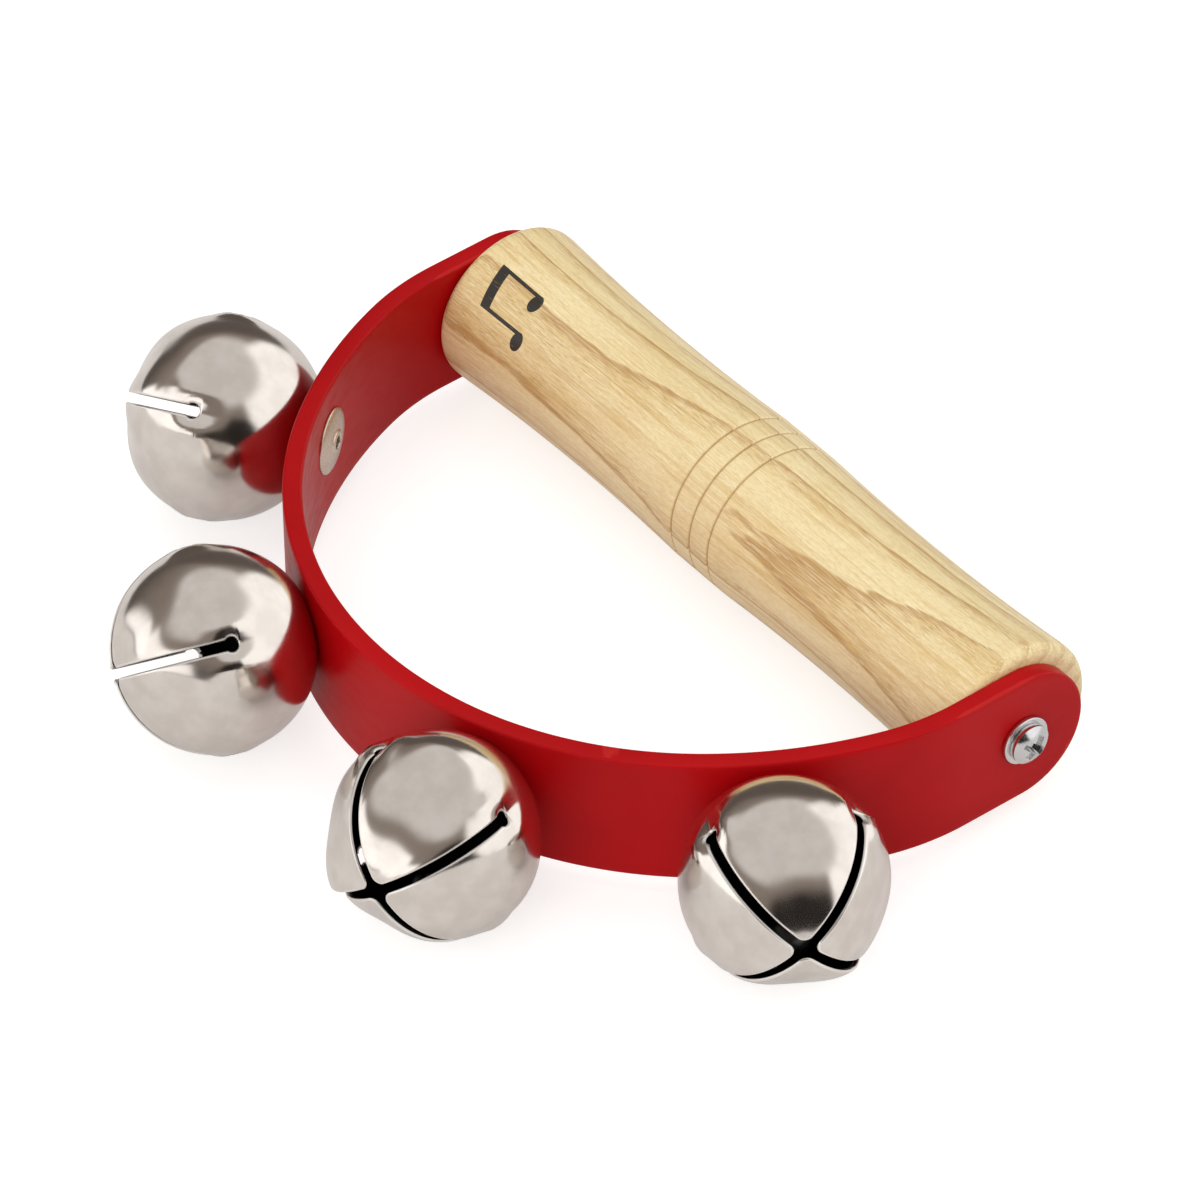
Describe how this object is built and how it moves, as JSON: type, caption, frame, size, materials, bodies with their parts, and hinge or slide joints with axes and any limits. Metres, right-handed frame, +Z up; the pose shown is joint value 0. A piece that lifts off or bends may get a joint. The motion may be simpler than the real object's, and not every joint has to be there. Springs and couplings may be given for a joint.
{
  "type": "sleigh bells",
  "caption": "Hand-held sleigh bells: slotted metal ball bells riveted along a curved plastic strap that is screwed to both ends of a turned wooden grip.",
  "frame": {"origin": "centre of the wooden grip, on its axis and midway between its ends", "axes": "+X along the grip toward its right end, -Y toward the strap and the bells, +Z up, square to the plane the strap is bent in"},
  "size_m": [0.1828, 0.1248, 0.0346],
  "materials": {
    "ash_wood": "pale close-grained wood under clear satin lacquer",
    "red_plastic": "solid deep red flexible plastic, satin, slightly scuffed",
    "nickel_shell": "nickel-plated pressed sheet, polished",
    "zinc_steel": "bright zinc plate",
    "rivet_metal": "smooth, slightly warm from the red strap beside it",
    "mandrel_steel": "plain broken steel",
    "pellet_steel": "plain rolled steel ball"
  },
  "bodies": {
    "grip_and_strap": {"handle": "ash_wood", "strap": "red_plastic", "washer_left": "zinc_steel", "washer_right": "zinc_steel", "screw_left": "zinc_steel", "screw_right": "zinc_steel", "rivet_1": "rivet_metal", "rivet_2": "rivet_metal", "rivet_3": "rivet_metal", "rivet_4": "rivet_metal", "rivet_mandrel_1": "mandrel_steel", "rivet_mandrel_2": "mandrel_steel", "rivet_mandrel_3": "mandrel_steel", "rivet_mandrel_4": "mandrel_steel"},
    "bell_1": {"bell_shell_1": "nickel_shell"},
    "bell_2": {"bell_shell_2": "nickel_shell"},
    "bell_3": {"bell_shell_3": "nickel_shell"},
    "bell_4": {"bell_shell_4": "nickel_shell"},
    "pellet_1": {"pellet_1": "pellet_steel"},
    "pellet_2": {"pellet_2": "pellet_steel"},
    "pellet_3": {"pellet_3": "pellet_steel"},
    "pellet_4": {"pellet_4": "pellet_steel"}
  },
  "joints": [
    {"name": "bell_1_turn", "type": "hinge", "parent": "grip_and_strap", "child": "bell_1", "pos_m": [-0.07313, -0.05683, 0.0013], "axis": [-0.8359, -0.5488, 0], "continuous": true},
    {"name": "bell_2_turn", "type": "hinge", "parent": "grip_and_strap", "child": "bell_2", "pos_m": [-0.02742, -0.0926, 0.0013], "axis": [-0.3173, -0.9483, 0], "continuous": true},
    {"name": "bell_3_turn", "type": "hinge", "parent": "grip_and_strap", "child": "bell_3", "pos_m": [0.03097, -0.09132, 0.0013], "axis": [0.3585, -0.9335, 0], "continuous": true},
    {"name": "bell_4_turn", "type": "hinge", "parent": "grip_and_strap", "child": "bell_4", "pos_m": [0.07507, -0.05376, 0.0013], "axis": [0.8547, -0.5191, 0], "continuous": true},
    {"name": "pellet_1_bounce", "type": "slide", "parent": "bell_1", "child": "pellet_1", "axis": [0, 0, 1], "range_m": [0, 0.0244]},
    {"name": "pellet_2_bounce", "type": "slide", "parent": "bell_2", "child": "pellet_2", "axis": [0, 0, 1], "range_m": [0, 0.0244]},
    {"name": "pellet_3_bounce", "type": "slide", "parent": "bell_3", "child": "pellet_3", "axis": [0, 0, 1], "range_m": [0, 0.0244]},
    {"name": "pellet_4_bounce", "type": "slide", "parent": "bell_4", "child": "pellet_4", "axis": [0, 0, 1], "range_m": [0, 0.0244]}
  ]
}
